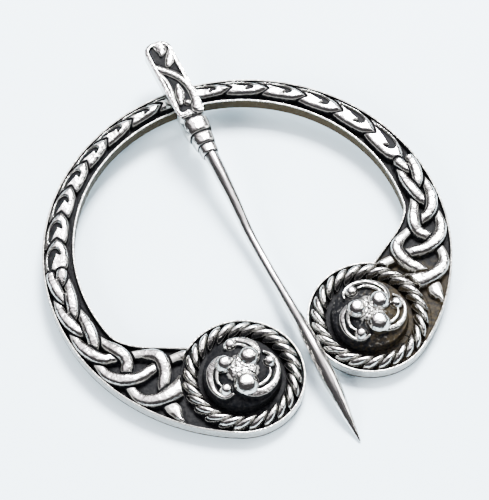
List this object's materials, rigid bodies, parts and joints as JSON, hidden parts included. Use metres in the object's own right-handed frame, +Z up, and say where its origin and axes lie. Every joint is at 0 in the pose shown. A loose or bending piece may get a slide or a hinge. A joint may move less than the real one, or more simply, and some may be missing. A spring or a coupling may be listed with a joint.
{
  "type": "penannular brooch",
  "caption": "Cast silver penannular brooch: open crescent hoop with leaf and plait relief, two domed whorl roundels, and a swinging pin with an ornamented head.",
  "frame": {"origin": "on the surface that the brooch lies on, under the middle of its bounding box", "axes": "+Z up off the surface, +Y from the gap between the roundels towards the pin's head, +X to the right seen from above"},
  "size_m": [0.0444, 0.0528, 0.0062],
  "materials": {
    "silver": "polished sterling silver with dark oxide left in the recesses"
  },
  "bodies": {
    "hoop_body": {"hoop": "silver"},
    "pin_body": {"pin": "silver"}
  },
  "joints": [
    {"name": "pin_lift", "type": "hinge", "parent": "hoop_body", "child": "pin_body", "pos_m": [0.00216, 0.01965, 0.00276], "axis": [-0.994, 0.1096, 0.0043], "range_deg": [0, 180]}
  ]
}
